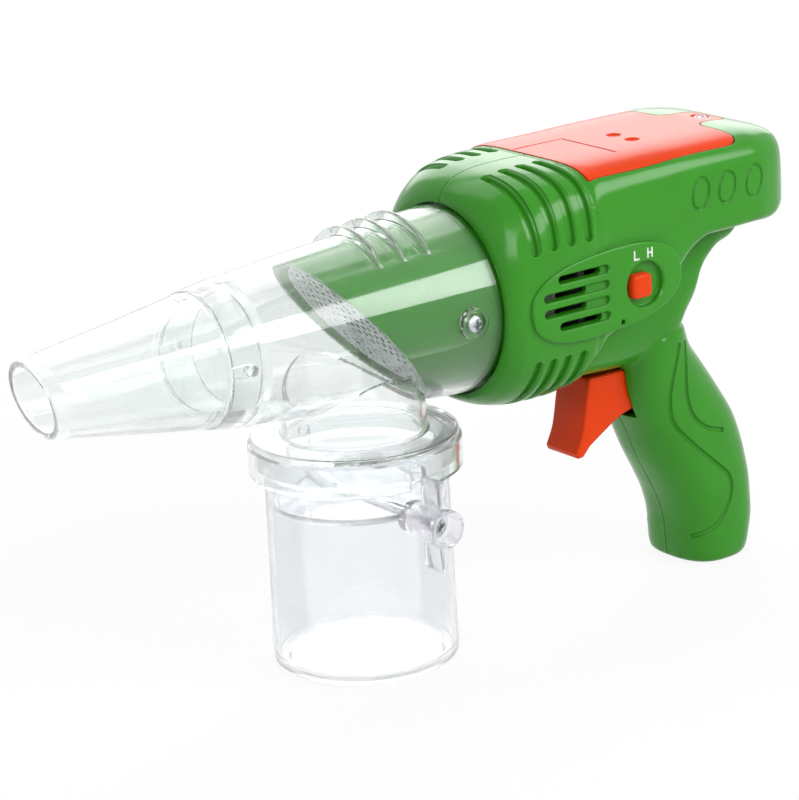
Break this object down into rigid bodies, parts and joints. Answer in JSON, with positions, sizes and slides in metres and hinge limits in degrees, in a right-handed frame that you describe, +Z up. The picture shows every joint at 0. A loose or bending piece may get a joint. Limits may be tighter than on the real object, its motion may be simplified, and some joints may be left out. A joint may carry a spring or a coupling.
{
  "type": "bug_vacuum",
  "caption": "Hand-held battery bug vacuum with a clear suction barrel, a screw-free catch jar with a shutter, a green pistol housing and orange trigger and battery cover",
  "frame": {"origin": "centre of the jar's flat underside, on the floor plane", "axes": "+X from the nozzle back to the grip, +Z up, -Y the side with the speed switch"},
  "size_m": [0.2542, 0.0773, 0.137],
  "materials": {
    "clear_plastic": "clear moulded plastic, faint green tint",
    "jar_plastic": "clear moulded plastic, colourless",
    "lilac_plastic": "clear moulded plastic, faint lilac tint",
    "green_plastic": "glossy moulded plastic",
    "orange_plastic": "satin moulded plastic",
    "black_plastic": "plain moulded plastic",
    "white_plastic": "plain moulded plastic",
    "zinc_steel": "zinc plated",
    "mesh_steel": "woven wire, dull",
    "cell_jacket": "plain jacket without marks"
  },
  "bodies": {
    "housing": {"housing_left": "green_plastic", "housing_right": "green_plastic", "housing_screw_1": "zinc_steel", "housing_screw_2": "zinc_steel", "housing_screw_3": "zinc_steel", "housing_screw_4": "zinc_steel", "housing_screw_5": "zinc_steel", "catch_tube": "clear_plastic", "tube_screw_left": "zinc_steel", "tube_screw_right": "zinc_steel", "filter_holder": "green_plastic", "filter_mesh": "mesh_steel", "battery_tray": "black_plastic", "battery_cell_1": "cell_jacket", "battery_cell_2": "cell_jacket", "battery_cell_3": "cell_jacket", "battery_cell_4": "cell_jacket", "contact_strip_left": "zinc_steel", "contact_strip_right": "zinc_steel", "motor_mount": "black_plastic", "motor": "zinc_steel", "trigger_spring": "zinc_steel", "trigger_switch": "black_plastic", "speed_switch": "black_plastic"},
    "nozzle": {"nozzle": "clear_plastic"},
    "jar": {"jar": "jar_plastic"},
    "shutter": {"shutter_disc": "lilac_plastic", "shutter_knob": "lilac_plastic", "knob_screw": "zinc_steel"},
    "cover": {"battery_cover": "orange_plastic", "cover_screw": "zinc_steel"},
    "trigger": {"trigger": "orange_plastic"},
    "speed": {"speed_button": "orange_plastic"},
    "impeller": {"impeller": "white_plastic", "motor_shaft": "zinc_steel"}
  },
  "joints": [
    {"name": "nozzle_pull", "type": "slide", "parent": "housing", "child": "nozzle", "axis": [-1, 0, 0], "range_m": [0, 0.015]},
    {"name": "jar_pull", "type": "slide", "parent": "housing", "child": "jar", "axis": [0, 0, -1], "range_m": [0, 0.025]},
    {"name": "shutter_turn", "type": "hinge", "parent": "jar", "child": "shutter", "pos_m": [0, 0, 0.0485], "axis": [0, 1, 0], "range_deg": [0, 90]},
    {"name": "cover_open", "type": "hinge", "parent": "housing", "child": "cover", "pos_m": [0.0667, 0, 0.1373], "axis": [0, -1, 0], "range_deg": [0, 70]},
    {"name": "trigger_pull", "type": "slide", "parent": "housing", "child": "trigger", "axis": [1, 0, 0], "range_m": [0, 0.006], "stiffness_N_per_m": 500, "springref_m": -0.004, "deforming": ["trigger_spring"]},
    {"name": "speed_select", "type": "slide", "parent": "housing", "child": "speed", "axis": [1, 0, 0], "range_m": [0, 0.004]},
    {"name": "impeller_spin", "type": "hinge", "parent": "housing", "child": "impeller", "pos_m": [0.048, 0, 0.1], "axis": [1, 0, 0], "continuous": true}
  ]
}
